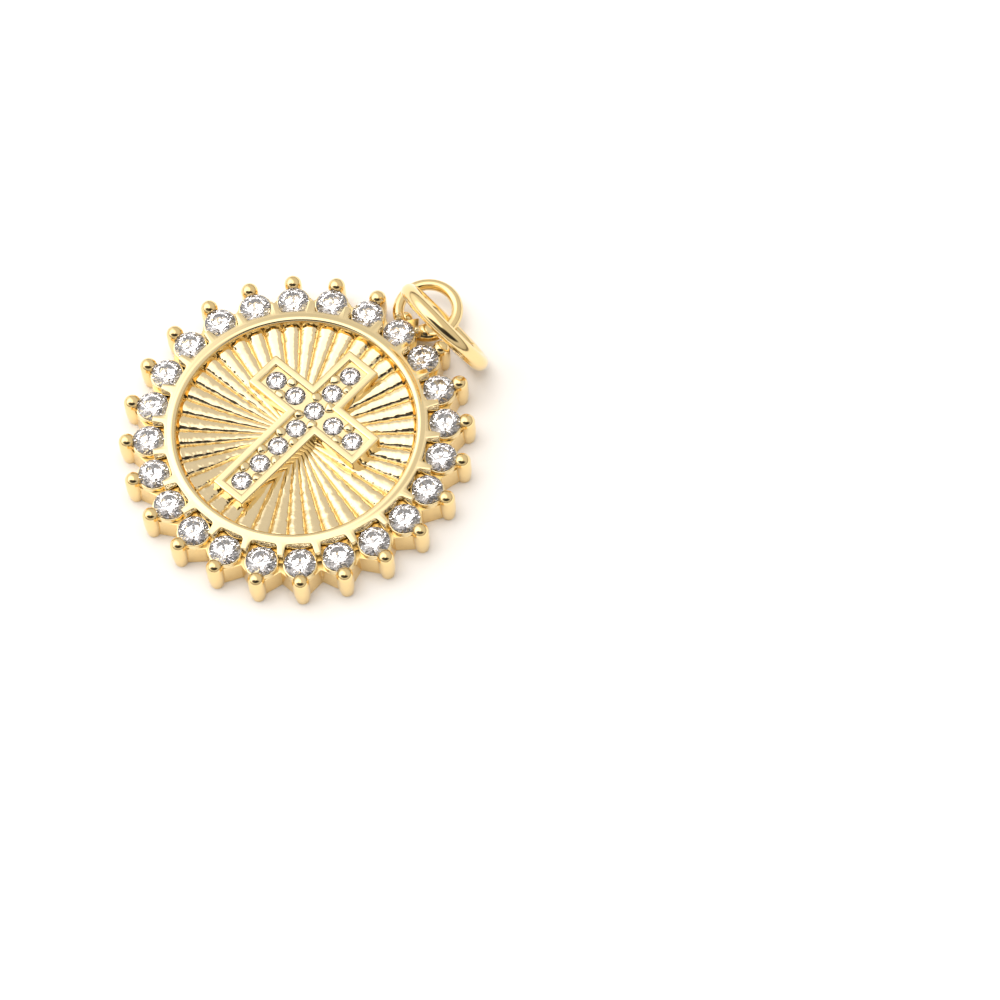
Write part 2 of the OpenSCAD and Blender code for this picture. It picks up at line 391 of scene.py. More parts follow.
def seat_cutter(
    stone_r: float, hole_r: float, girdle_z: float, mouth_z: float, sides: int
) -> BMesh:
    """Makes the room that is cut for one stone and the hole under it.

    Args:
        stone_r: radius of the stone.
        hole_r: radius of the hole under it.
        girdle_z: height of the stone's girdle.
        mouth_z: height of the face that the hole opens through at the back.
        sides: number of steps round.

    Returns:
        A closed cutter about the Z axis.
    """
    gap = LAYOUT.seat_gap
    size = 2 * stone_r
    belt = CUT.half_girdle * size
    step_z = girdle_z - belt - (stone_r + gap - hole_r) / CUT.slope
    star_z = girdle_z + (CUT.half_girdle + CUT.star_z) * size + gap
    table_z = girdle_z + (CUT.half_girdle + CUT.crown_h) * size + gap
    profile = [
        (0.0, mouth_z - OVERRUN),
        (hole_r + LAYOUT.hole_lip, mouth_z - OVERRUN),
        *mouth_rounding(hole_r, mouth_z, LAYOUT.hole_lip),
        (hole_r, step_z),
        (stone_r + gap, girdle_z - belt),
        (stone_r + gap, girdle_z + belt),
        (CUT.star_r * size + gap, star_z),
        (CUT.table_r * size + gap, table_z),
        (0.0, table_z),
    ]
    return Workshop.lathe(profile, sides)


def border_seats(sides: int = 40) -> BMesh:
    """Cutters for all the border stones."""
    stone_r, hole_r = LAYOUT.border_stone_r, LAYOUT.border_hole_r
    cutter = seat_cutter(stone_r, hole_r, LAYOUT.border_girdle_z, 0.0, sides)
    return at_border(cutter, LAYOUT.stone_ring_r)


def at_border(source: BMesh, r: float, first: int = 0) -> BMesh:
    """Repeats a mesh at the border places.

    Args:
        source: the mesh, with +Y pointing away from the disc's centre; it is freed.
        r: distance of the places from the centre.
        first: number of the first place; 1 leaves out the one at the loop.

    Returns:
        One mesh with all the copies.
    """
    out = Matrix.Translation((0, r, 0))
    places = [LAYOUT.border_turn(k) @ out for k in range(first, LAYOUT.border_count)]
    return Workshop.copies(source, places)


def cross_seats(sides: int = 32) -> BMesh:
    """Cutters for all the cross stones."""
    stone_r, hole_r, mouth_z = LAYOUT.cross_stone_r, LAYOUT.cross_hole_r, LAYOUT.recess_depth
    cutter = seat_cutter(stone_r, hole_r, LAYOUT.cross_girdle_z, mouth_z, sides)
    return Workshop.copies(cutter, [Matrix.Translation(place) for place in LAYOUT.cross_places()])


def surface_group() -> bpy.types.NodeTree:
    """The small unevenness of plated metal, as one node group.

    Returns:
        A group with a colour mask, a roughness and a height for bump.
    """
    group = bpy.data.node_groups.new("plated_surface", "ShaderNodeTree")
    face = group.interface
    for name, value in (("Grain scale", 900.0), ("Roughness", 0.12), ("Spread", 0.06)):
        socket = face.new_socket(name, in_out="INPUT", socket_type="NodeSocketFloat")
        socket.default_value = value
    for name in ("Stain", "Roughness", "Height"):
        face.new_socket(name, in_out="OUTPUT", socket_type="NodeSocketFloat")
    nodes, links = group.nodes, group.links
    ins, outs = nodes.new("NodeGroupInput"), nodes.new("NodeGroupOutput")
    coords = nodes.new("ShaderNodeTexCoord")
    fine = nodes.new("ShaderNodeTexNoise")
    fine.inputs["Detail"].default_value = 4.0
    broad = nodes.new("ShaderNodeTexNoise")
    broad.inputs["Scale"].default_value = 260.0
    broad.inputs["Detail"].default_value = 3.0
    spread = nodes.new("ShaderNodeMath")
    spread.operation = "MULTIPLY_ADD"
    centred = nodes.new("ShaderNodeMath")
    centred.operation = "SUBTRACT"
    centred.inputs[1].default_value = 0.5
    links.new(coords.outputs["Object"], fine.inputs["Vector"])
    links.new(coords.outputs["Object"], broad.inputs["Vector"])
    links.new(ins.outputs["Grain scale"], fine.inputs["Scale"])
    links.new(broad.outputs["Fac"], centred.inputs[0])
    links.new(centred.outputs[0], spread.inputs[0])
    links.new(ins.outputs["Spread"], spread.inputs[1])
    links.new(ins.outputs["Roughness"], spread.inputs[2])
    links.new(broad.outputs["Fac"], outs.inputs["Stain"])
    links.new(spread.outputs[0], outs.inputs["Roughness"])
    links.new(fine.outputs["Fac"], outs.inputs["Height"])
    return group


@dataclass(frozen=True)
class GoldFinish:
    """One finish of the gold plate."""

    name: str
    colour: tuple[float, float, float] = (0.955, 0.79, 0.48)
    deep_colour: tuple[float, float, float] = (0.94, 0.755, 0.41)
    roughness: float = 0.12
    spread: float = 0.08
    grain: float = 900.0
    bump: float = 0.02

    def material(self, group: bpy.types.NodeTree) -> Material:
        """Builds the material.

        Args:
            group: the shared plated surface.

        Returns:
            A metal material.
        """
        made = bpy.data.materials.new(self.name)
        made.use_nodes = True
        nodes, links = made.node_tree.nodes, made.node_tree.links
        shader = nodes["Principled BSDF"]
        shader.inputs["Metallic"].default_value = 1.0
        surface = nodes.new("ShaderNodeGroup")
        surface.node_tree = group
        surface.inputs["Grain scale"].default_value = self.grain
        surface.inputs["Roughness"].default_value = self.roughness
        surface.inputs["Spread"].default_value = self.spread
        tint = nodes.new("ShaderNodeMix")
        tint.data_type = "RGBA"
        tint.inputs["A"].default_value = (*self.colour, 1.0)
        tint.inputs["B"].default_value = (*self.deep_colour, 1.0)
        bump = nodes.new("ShaderNodeBump")
        bump.inputs["Strength"].default_value = self.bump
        bump.inputs["Distance"].default_value = 0.0001
        links.new(surface.outputs["Stain"], tint.inputs["Factor"])
        links.new(tint.outputs["Result"], shader.inputs["Base Color"])
        links.new(surface.outputs["Roughness"], shader.inputs["Roughness"])
        links.new(surface.outputs["Height"], bump.inputs["Height"])
        links.new(bump.outputs["Normal"], shader.inputs["Normal"])
        return made


@dataclass(frozen=True)
class StoneFinish:
    """The clear stones."""

    name: str = "clear_stone"
    colour: tuple[float, float, float] = (1.0, 0.965, 0.97)
    ior: float = 2.2
    roughness: float = 0.0
    clearness: float = 0.92

    def material(self) -> Material:
        """Builds the material.

        Returns:
            A clear material.
        """
        made = bpy.data.materials.new(self.name)
        made.use_nodes = True
        shader = made.node_tree.nodes["Principled BSDF"]
        shader.inputs["Base Color"].default_value = (*self.colour, 1.0)
        shader.inputs["Roughness"].default_value = self.roughness
        shader.inputs["IOR"].default_value = self.ior
        shader.inputs["Transmission Weight"].default_value = self.clearness
        return made


class Finish(Enum):
    """The finishes that the pendant's surfaces have; the one for the posts also carries painted
    shade.
    """

    POLISHED = GoldFinish("polished_gold")
    CAST = GoldFinish(
        "cast_gold",
        colour=(0.94, 0.73, 0.38),
        deep_colour=(0.92, 0.68, 0.31),
        roughness=0.2,
        spread=0.1,
        bump=0.05,
    )
    # The same gold plate as the polished finish, made deeper and more orange: painted warm shade
    # for the posts, the loop and the jump ring, whose sides show the shaded floor and the gold
    # beside them
    POST_PAINTED_SHADE = GoldFinish("post_gold_painted_shade", colour=(0.95, 0.74, 0.39), deep_colour=(0.93, 0.7, 0.33))
    DIAL = GoldFinish(
        "dial_gold",
        colour=(0.95, 0.785, 0.505),
        deep_colour=(0.92, 0.755, 0.45),
        roughness=0.09,
        bump=0.06,
        grain=1500.0,
    )


@dataclass
class BackPlate:
    """The plate with the star-shaped edge, the recess, the open holes and the dimples."""

    tip_r: float = 8.56
    tip_w: float = 0.6
    notch_r: float = 7.9
    loop_point_r: float = 9.1
    edge_round: float = 0.05
    recess_r: float = 6.08
    recess_lip: float = 0.08
    floor_round: tuple[tuple[float, float], ...] = ((0.0, 0.08), (0.03, 0.025), (0.09, 0.0))
    dimple_d: float = 0.66
    dimple_depth: float = 0.18
    dimple_lip: float = 0.03
    dimple_overrun: float = 0.2
    dimple_gap: float = 0.04
    recess_rings: tuple[tuple[float, int, float], ...] = (
        (1.2, 6, 44.0),
        (2.27, 13, 11.0),
        (3.4, 18, 8.5),
        (4.5, 26, 6.8),
        (5.6, 32, 0.3),
    )
    border_rings: tuple[tuple[float, int, float], ...] = ((6.49, 38, 5.0),)

    def outline(self) -> list[tuple[float, float]]:
        """Draws the star-shaped edge, with one sharp point under the loop.

        Returns:
            Its corners, counter-clockwise.
        """
        corners: list[tuple[float, float]] = []
        for k in range(LAYOUT.border_count):
            turn = LAYOUT.border_turn(k)
            tips = (
                [Vector((0.0, self.loop_point_r, 0.0))]
                if k == 0
                else [Vector((x, self.tip_r, 0.0)) for x in (self.tip_w / 2, -self.tip_w / 2)]
            )
            corners += [tuple((turn @ tip)[:2]) for tip in tips]
            notch = LAYOUT.border_turn(k + 0.5) @ Vector((0.0, self.notch_r, 0.0))
            corners.append(tuple(notch[:2]))
        return corners

    def recess(self) -> BMesh:
        """Makes the cutter for the recess, rounded at its mouth and its floor.

        Returns:
            A closed cutter.
        """
        floor = LAYOUT.recess_depth
        profile = [
            (0.0, -OVERRUN),
            (self.recess_r + self.recess_lip, -OVERRUN),
            *mouth_rounding(self.recess_r, 0.0, self.recess_lip),
            *[(self.recess_r - inwards, floor - down) for inwards, down in self.floor_round],
            (0.0, floor),
        ]
        return Workshop.lathe(profile, 160)

    def dimples(self) -> BMesh:
        """Makes the cutters for the dimples, each a shallow bowl with a soft edge.

        Returns:
            One mesh with all the cutters.
        """
        rim, past = 0.5 * self.dimple_d, -self.dimple_overrun
        edge = rim + self.dimple_lip
        ball_r = (rim**2 + self.dimple_depth**2) / (2 * self.dimple_depth)
        deepest = math.asin(rim / ball_r)
        profile = [(0.0, past), (edge, past), (edge, 0.0), (rim, self.dimple_lip)]
        profile += [
            (ball_r * math.sin(a), self.dimple_depth - ball_r * (1 - math.cos(a)))
            for a in (deepest * f for f in (0.8, 0.55, 0.3, 0.12, 0.0))
        ]
        space = LAYOUT.cross_hole_r + rim + self.dimple_gap
        places = []
        for rings, level in ((self.recess_rings, LAYOUT.recess_depth), (self.border_rings, 0.0)):
            for radius, count, first in rings:
                for i in range(count):
                    angle = math.radians(first + i * 360.0 / count)
                    spot = Vector((radius * math.cos(angle), radius * math.sin(angle), 0.0))
                    if min((spot - p).length for p in LAYOUT.cross_places()) > space:
                        places.append(Matrix.Translation(spot + Vector((0, 0, level))))
        return Workshop.copies(Workshop.lathe(profile, 18), places)

    def build(self, finish: Material) -> Object:
        """Builds the plate.

        Args:
            finish: its material.

        Returns:
            The finished plate, which stands for the cast body.
        """
        plate = Workshop.prism(self.outline(), 0.0, LAYOUT.plate_h)
        Workshop.soften(plate, Workshop.turning_edges(plate, 20.0), self.edge_round, 2)
        plate = Workshop.carve(plate, self.recess())
        plate = Workshop.carve(plate, border_seats())
        plate = Workshop.carve(plate, cross_seats())
        plate = Workshop.carve(plate, self.dimples())
        made = Workshop.piece(plate, "back_plate", finish, 30.0, crisp_flats=True)
        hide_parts("cast_body")
        return made


@dataclass
class Posts:
    """The round posts with their cut-back heads, and the two small beads beside the loop."""

    ring_r: float = 8.7
    foot_r: float = 0.35
    foot_lift: float = 0.01
    foot_chamfer: float = 0.04
    shank_h: float = 1.0
    head_r: float = 0.44
    head_z: float = 1.7
    head_round: float = 0.02
    seat_foot_r: float = 0.15
    seat_drop: float = 0.6
    seat_ease: float = 0.02
    cut_r: float = 0.8
    side_x: float = 0.66
    side_y: float = 8.3
    side_bead_r: float = 0.23
    side_bead_stretch: float = 2.1
    side_bead_drop: float = 0.08

    def profile(self) -> list[tuple[float, float]]:
        """Draws half a post, from the middle of its foot to the top of its head.

        Returns:
            Points as (radius, height).
        """
        arc = [
            (
                self.head_r * math.cos(math.radians(a)),
                self.head_z + self.head_r * math.sin(math.radians(a)),
            )
            for a in range(0, 90, 6)
        ]
        lift, chamfer = self.foot_lift, self.foot_chamfer
        growth = self.head_r - self.foot_r
        foot = [(0.0, lift), (self.foot_r - chamfer, lift), (self.foot_r, chamfer)]
        shank = [
            (self.foot_r + growth * math.sin(math.radians(a)), chamfer + self.shank_h * a / 90)
            for a in range(10, 91, 10)
        ]
        return foot + shank + arc + [(0.0, self.head_z + self.head_r)]

    def cutters(self) -> BMesh:
        """Makes the cutters for the seats, which go straight up along the stones' edges.

        Returns:
            One mesh with all the cutters.
        """
        stone_r, girdle_z = LAYOUT.border_stone_r, LAYOUT.border_girdle_z
        wide = stone_r + LAYOUT.seat_gap
        low = girdle_z - CUT.half_girdle * 2 * stone_r
        high = 2 * girdle_z - low
        top = self.head_z + 2 * self.head_r
        profile = [
            (0.0, low - self.seat_drop),
            (self.seat_foot_r, low - self.seat_drop),
            (wide, low),
            (wide, high),
            (self.cut_r, high + self.seat_ease),
            (self.cut_r, top),
            (0.0, top),
        ]
        return at_border(Workshop.lathe(profile, 72), LAYOUT.stone_ring_r)

    def build(self, finish: Material) -> Object:
        """Builds all the posts as one piece.

        Args:
            finish: their material.

        Returns:
            The finished posts.
        """
        posts = at_border(Workshop.lathe(self.profile(), 48), self.ring_r, first=1)
        posts = Workshop.carve(posts, self.cutters())
        Workshop.soften(posts, Workshop.turning_edges(posts, 45.0), self.head_round, 2)
        return Workshop.piece(posts, "posts", finish, 40.0, weighted=False)

    def build_side_beads(self, finish: Material) -> Object:
        """Builds the two small beads that hold the stone beside the loop.

        Args:
            finish: their material.

        Returns:
            The finished beads.
        """
        bm = bmesh.new()
        bmesh.ops.create_uvsphere(bm, u_segments=32, v_segments=20, radius=self.side_bead_r)
        bmesh.ops.scale(bm, verts=bm.verts, vec=(1.0, 1.0, self.side_bead_stretch))
        level = LAYOUT.border_girdle_z - self.side_bead_drop
        places = [Matrix.Translation((s * self.side_x, self.side_y, level)) for s in (-1, 1)]
        beads = Workshop.carve(Workshop.copies(bm, places), self.cutters())
        return Workshop.piece(beads, "loop_side_beads", finish, 40.0, weighted=False)


@dataclass
class Collars:
    """The low collars that the border stones' seats are cut into."""

    outer_r: float = 0.88
    below_girdle: float = 0.08
    lip: float = 0.035

    def build(self, finish: Material) -> Object:
        """Builds all the collars as one piece.

        Args:
            finish: their material.

        Returns:
            The finished collars.
        """
        low, top = LAYOUT.root_z, LAYOUT.border_girdle_z - self.below_girdle
        rounding = [
            (
                self.outer_r - self.lip * (1 - math.cos(a)),
                top - self.lip * (1 - math.sin(a)),
            )
            for a in QUARTER
        ]
        profile = [(0.0, low), (self.outer_r, low), *rounding, (0.0, top)]
        collars = at_border(Workshop.lathe(profile, 56), LAYOUT.stone_ring_r)
        collars = Workshop.carve(collars, border_seats(64))
        return Workshop.piece(collars, "seat_collars", finish, 40.0, weighted=False)


@dataclass
class RimAndProngs:
    """The rounded rim ring and the flat flange outside it, cut away so that prongs are left."""

    outer_r: float = 7.4
    flange_z: float = 2.3
    corner: float = 0.14
    rounding: float = 0.055
    cut_marks: tuple[tuple[float, float], ...] = ((0.77, -1.01), (0.95, -0.36), (1.02, 0.0))
    bow: tuple[tuple[float, float], ...] = (
        (6.64, 2.3),
        (6.58, 2.306),
        (6.52, 2.326),
        (6.45, 2.345),
        (6.38, 2.35),
        (6.31, 2.343),
        (6.25, 2.32),
        (6.2, 2.28),
        (6.165, 2.22),
        (6.15, 2.12),
        (6.14, 2.0),
        (6.1, 1.84),
        (6.04, 1.7),
    )

    def cut_outline(self) -> list[tuple[float, float]]:
        """Draws the room that is cut beside one stone, with rounded inner corners.

        Returns:
            Its corners, counter-clockwise.
        """
        side = LAYOUT.border_stone_r + LAYOUT.seat_gap
        corner, flank, end = (Vector((x * side, y * side)) for x, y in self.cut_marks)
        first = corner - Vector((self.corner, 0.0))
        last = corner + (flank - corner).normalized() * self.corner
        arc = [
            first * (1 - t) ** 2 + corner * 2 * t * (1 - t) + last * t**2
            for t in (0.0, 0.25, 0.5, 0.75, 1.0)
        ]
        right = [tuple(point) for point in (*arc, flank, end)]
        return right + [(-x, y) for x, y in reversed(right)]

    def build(self, finish: Material) -> Object:
        """Builds the ring, the flange and its prongs as one piece.

        Args:
            finish: their material.

        Returns:
            The finished piece.
        """
        low = LAYOUT.root_z
        profile = [(self.outer_r, low), (self.outer_r, self.flange_z), *self.bow]
        profile += [(self.bow[-1][0], low), profile[0]]
        rim = Workshop.lathe(profile, 240)
        cut = Workshop.prism(self.cut_outline(), low - OVERRUN, self.flange_z + OVERRUN)
        rim = Workshop.carve(rim, at_border(cut, LAYOUT.stone_ring_r))
        Workshop.soften(rim, Workshop.turning_edges(rim, 40.0), self.rounding, 3)
        return Workshop.piece(rim, "rim_and_prongs", finish, 40.0)


@dataclass
class SunburstDial:
    """The rounded rays between the cross and the rim ring."""

    ray_count: int = 40
    crest_z: float = 1.56
    rise: float = 0.42
    depth: float = 0.26
    edge_r: float = 6.3
    end_r: float = 6.03
    end_bow: float = 0.1
    end_drop: float = 0.08
    middle: tuple[float, float, float] = (-0.08, -0.09, 0.0)
    along: int = 110
    across: int = 16
    crowding: float = 1.25
    flat_part: float = 0.2
    fullness: float = 0.94
    calm_r: float = 2.6
    rough_scales: tuple[float, float] = (3.0, 9.0)
    wobble: float = 0.01
    ragged: float = 0.035

    def height(self, spot: Vector) -> float:
        """Height of the dial's surface.

        Args:
            spot: a place on the dial, seen from the front.

        Returns:
            The height above the back.
        """
        ray = spot - Vector(self.middle)
        turns = (math.atan2(ray.y, ray.x) - math.pi / 2) * self.ray_count / math.pi
        side = abs((turns + 1.0) % 2.0 - 1.0)
        slope = max(0.0, (side - self.flat_part) / (1.0 - self.flat_part))
        drop = (1 - math.sqrt(1 - self.fullness * slope**2)) / (1 - math.sqrt(1 - self.fullness))
        r = spot.length
        end = min(1.0, max(0.0, (r - self.end_r + self.end_bow * side * side) / self.end_drop))
        drop = max(drop, end * end)
        out = min(1.0, r / LAYOUT.rim_inner_r)
        calm = min(1.0, r / self.calm_r)
        coarse, fine = self.rough_scales
        rough = noise.noise(spot * coarse) + 0.5 * noise.noise(spot * fine)
        rough *= calm * calm * (self.wobble + 4 * self.ragged * drop * (1 - drop))
        return self.crest_z + self.rise * out * out - self.depth * out * calm * drop + rough

    def build(self, finish: Material) -> Object:
        """Builds the dial.

        Args:
            finish: its material.

        Returns:
            The finished dial.
        """
        bm = bmesh.new()
        bmesh.ops.create_grid(bm, x_segments=self.across, y_segments=self.along, size=1.0)
        half = math.pi / self.ray_count
        last = self.crowding
        for vert in bm.verts:
            angle = math.pi / 2 - math.sin(vert.co.x * math.pi / 2) * half
            r = math.sin((vert.co.y + 1.0) / 2 * last) / math.sin(last) * self.edge_r
            vert.co = (r * math.cos(angle), r * math.sin(angle), 0.0)
        shift = Matrix.Translation(self.middle)
        turns = [
            shift @ Matrix.Rotation(math.tau * k / self.ray_count, 4, "Z")
            for k in range(self.ray_count)
        ]
        dial = Workshop.copies(bm, turns)
        bmesh.ops.remove_doubles(dial, verts=dial.verts, dist=1e-4)
        for vert in dial.verts:
            vert.co.z = self.height(vert.co)
        edge = [e for e in dial.edges if e.is_boundary]
        grown = bmesh.ops.extrude_edge_only(dial, edges=edge)["geom"]
        for part in grown:
            if isinstance(part, BMVert):
                part.co.z = LAYOUT.root_z
        bmesh.ops.holes_fill(dial, edges=[e for e in dial.edges if e.is_boundary], sides=0)
        dial = Workshop.carve(dial, cross_seats())
        return Workshop.piece(dial, "sunburst_dial", finish, 50.0, weighted=False)


@dataclass
class StoneCross:
    """The raised cross: its wall, its channel with the seats, and the small beads."""

    width: float = 2.06
    arm_ends: float = 2.08
    bar_ends: float = 2.04
    wall: float = 0.42
    wall_step: float = 0.001
    top_z: float = 2.3
    floor_rise: float = 0.06
    rounding: float = 0.1
    rounded_depth: float = 0.1
    bead_d: float = 0.54
    bead_sink: float = 0.04
    bead_shape: tuple[float, float, float] = (1.12, 1.12, 0.85)
    bead_lump: float = 0.06
    lump_scale: float = 2.5
    lump_seed: int = 7

    @property
    def arm_l(self) -> float:
        """Length of the long arm."""
        return (LAYOUT.arm_stones - 1) * LAYOUT.cross_pitch + self.arm_ends

    @property
    def bar_l(self) -> float:
        """Length of the bar."""
        return (LAYOUT.bar_stones - 1) * LAYOUT.cross_pitch + self.bar_ends

    @property
    def floor_z(self) -> float:
        """Height of the channel's floor."""
        return LAYOUT.cross_girdle_z + self.floor_rise

    def outline(self) -> list[tuple[float, float]]:
        """Draws the cross.

        Returns:
            Its corners, counter-clockwise from the foot.
        """
        w, a, b, y = self.width / 2, self.arm_l / 2, self.bar_l / 2, LAYOUT.crossing_y
        right = [(w, -a), (w, y - w), (b, y - w), (b, y + w), (w, y + w), (w, a)]
        return right + [(-x, z) for x, z in reversed(right)]

    def build(self, finish: Material) -> Object:
        """Builds the wall and the channel.

        Args:
            finish: its material.

        Returns:
            The finished cross.
        """
        cross = Workshop.prism(self.outline(), LAYOUT.root_z, self.top_z)
        top = max(cross.faces, key=lambda f: f.calc_center_median().z)
        bmesh.ops.inset_region(cross, faces=[top], thickness=self.wall, use_even_offset=True)
        bmesh.ops.translate(cross, verts=top.verts, vec=(0, 0, -self.wall_step))
        Workshop.draw_out(cross, top, self.floor_z - self.top_z + self.wall_step)
        if top.is_valid:
            bmesh.ops.delete(cross, geom=[top], context="FACES_ONLY")
        bmesh.ops.recalc_face_normals(cross, faces=cross.faces)
        rims = [
            e
            for e in Workshop.turning_edges(cross, 30.0)
            if max(v.co.z for v in e.verts) > self.top_z - self.rounded_depth
        ]
        Workshop.soften(cross, rims, self.rounding, 4)
        cross = Workshop.carve(cross, cross_seats())
        return Workshop.piece(cross, "cross_frame", finish, 35.0)

    def build_beads(self, finish: Material) -> Object:
        """Builds the small beads between the stones.

        Args:
            finish: their material.

        Returns:
            The finished beads.
        """
        side = self.width / 2 - self.wall - self.bead_d / 4
        pitch = LAYOUT.cross_pitch
        spots = [
            (x, (i - LAYOUT.arm_stones / 2) * pitch)
            for i in range(1, LAYOUT.arm_stones)
            for x in (-side, side)
        ]
        spots += [
            ((i - LAYOUT.bar_stones / 2) * pitch, LAYOUT.crossing_y + y)
            for i in range(1, LAYOUT.bar_stones)
            for y in (-side, side)
            if abs(i - LAYOUT.bar_stones / 2) > 1
        ]
        bm = bmesh.new()
        bmesh.ops.create_uvsphere(bm, u_segments=28, v_segments=16, radius=self.bead_d / 2)
        bmesh.ops.scale(bm, verts=bm.verts, vec=self.bead_shape)
        places = [Matrix.Translation((x, y, self.floor_z - self.bead_sink)) for x, y in spots]
        beads = Workshop.copies(bm, places)
        # Without a seed, noise_vector takes one from the clock
        noise.seed_set(self.lump_seed)
        for vert in beads.verts:
            vert.co += noise.noise_vector(vert.co * self.lump_scale) * self.bead_lump
        beads = Workshop.carve(beads, cross_seats(48))
        return Workshop.piece(beads, "pave_beads", finish, 40.0, weighted=False)


@dataclass
class SolderedLoop:
    """The loop on the star's sharp point, with its drops of solder."""

    centre_y: float = 9.76
    centre_z: float = 1.3
    radius: float = 1.52
    wire_r: float = 0.3
    wire_sides: int = 20
    drops: tuple[tuple[float, float, float, float], ...] = (
        (0.8, 8.75, 1.23, 0.5),
        (-0.6, 8.72, 1.13, 0.36),
    )

    def build(self, finish: Material) -> Object:
        """Builds the loop and the solder as one body.

        Args:
            finish: its material.

        Returns:
            The finished loop.
        """
        sides = self.wire_sides
        ring = [
            (
                self.radius + self.wire_r * math.cos(math.tau * i / sides),
                self.wire_r * math.sin(math.tau * i / sides),
            )
            for i in range(sides)
        ]
        loop = Workshop.lathe([*ring, ring[0]], 96)
        bmesh.ops.translate(loop, verts=loop.verts, vec=(0, self.centre_y, self.centre_z))
        for x, y, z, r in self.drops:
            drop = bmesh.new()
            bmesh.ops.create_uvsphere(drop, u_segments=40, v_segments=24, radius=r)
            bmesh.ops.translate(drop, verts=drop.verts, vec=(x, y, z))
            loop = Workshop.carve(loop, drop, join=True)
        loop = Workshop.carve(loop, border_seats(64))
        return Workshop.piece(loop, "soldered_loop", finish, 50.0, weighted=False)


@dataclass
class JumpRing:
    """The jump ring, which stands on the floor and leans in the loop."""

    radius: float = 2.55
    wire_r: float = 0.43
    tilt: float = 70.0
    turn: float = -8.0
    cut_place: float = 70.0
    cut_width: float = 1.0
    end_round: float = 0.03
    pass_offset: float = 0.12
    loop: SolderedLoop = field(default_factory=SolderedLoop)

    def place(self) -> Matrix:
        """Stands the ring on the floor, so that it passes through the loop.

        Returns:
            The ring's place and lean.
        """
        tilt, turn = math.radians(self.tilt), math.radians(self.turn)
        height = self.radius * math.sin(tilt) + self.wire_r
        rise = (height - self.loop.centre_z) / (self.radius * math.sin(tilt))
        meet = math.pi - math.asin(rise)
        along = self.radius * math.cos(meet)
        deep = self.radius * math.sin(meet) * math.cos(tilt)
        pass_y = self.loop.centre_y + self.pass_offset
        centre = Vector(
            (
                self.pass_offset - along * math.cos(turn) + deep * math.sin(turn),
                pass_y - along * math.sin(turn) - deep * math.cos(turn),
                height,
            )
        )
        lean = Matrix.Rotation(turn, 4, "Z") @ Matrix.Rotation(-tilt, 4, "X")
        return Matrix.Translation(centre) @ lean

    def build(self, finish: Material) -> Object:
        """Builds the ring with its fine cut.

        Args:
            finish: its material.

        Returns:
            The finished ring, which stands for the plain one.
        """
        bm = bmesh.new()
        disc = bmesh.ops.create_circle(bm, cap_ends=True, segments=40, radius=self.wire_r)
        stand = Matrix.Translation((self.radius, 0, 0)) @ Matrix.Rotation(math.pi / 2, 4, "X")
        start = Matrix.Rotation(math.radians(self.cut_place + self.cut_width / 2), 4, "Z")
        bmesh.ops.transform(bm, matrix=start @ stand, verts=disc["verts"])
        bmesh.ops.spin(
            bm,
            geom=bm.verts[:] + bm.edges[:] + bm.faces[:],
            cent=(0, 0, 0),
            axis=(0, 0, 1),
            angle=math.radians(360.0 - self.cut_width),
            steps=180,
            use_merge=False,
        )
        bmesh.ops.recalc_face_normals(bm, faces=bm.faces)
        rims = [e for e in bm.edges if any(len(face.verts) > 4 for face in e.link_faces)]
        Workshop.soften(bm, rims, self.end_round, 2)
        bmesh.ops.transform(bm, matrix=self.place(), verts=bm.verts)
        made = Workshop.piece(bm, "jump_ring_wire", finish, 40.0, weighted=False)
        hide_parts("jump_ring")
        return made


@dataclass
class Stones:
    """The stones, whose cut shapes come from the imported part."""

    border: StoneFinish = StoneFinish()
    # A darker, warmer copy of the clear stone: painted shade, warm from the gold seat that the
    # small stones reflect
    cross: StoneFinish = StoneFinish(
        "small_stone_painted_shade", colour=(0.96, 0.91, 0.905), clearness=0.96
    )

    def dress(self) -> int:
        """Gives every stone its clear finish; the cross stones get a copy darkened with painted
        shade.

        Returns:
            The number of stones.
        """
        count = 0
        for kind, finish in (("border_stone", self.border), ("cross_stone", self.cross)):
            material = finish.material()
            for stone in (o for name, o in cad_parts.items() if name.startswith(kind)):
                stone.data.materials.clear()
                stone.data.materials.append(material)
                count += 1
        return count


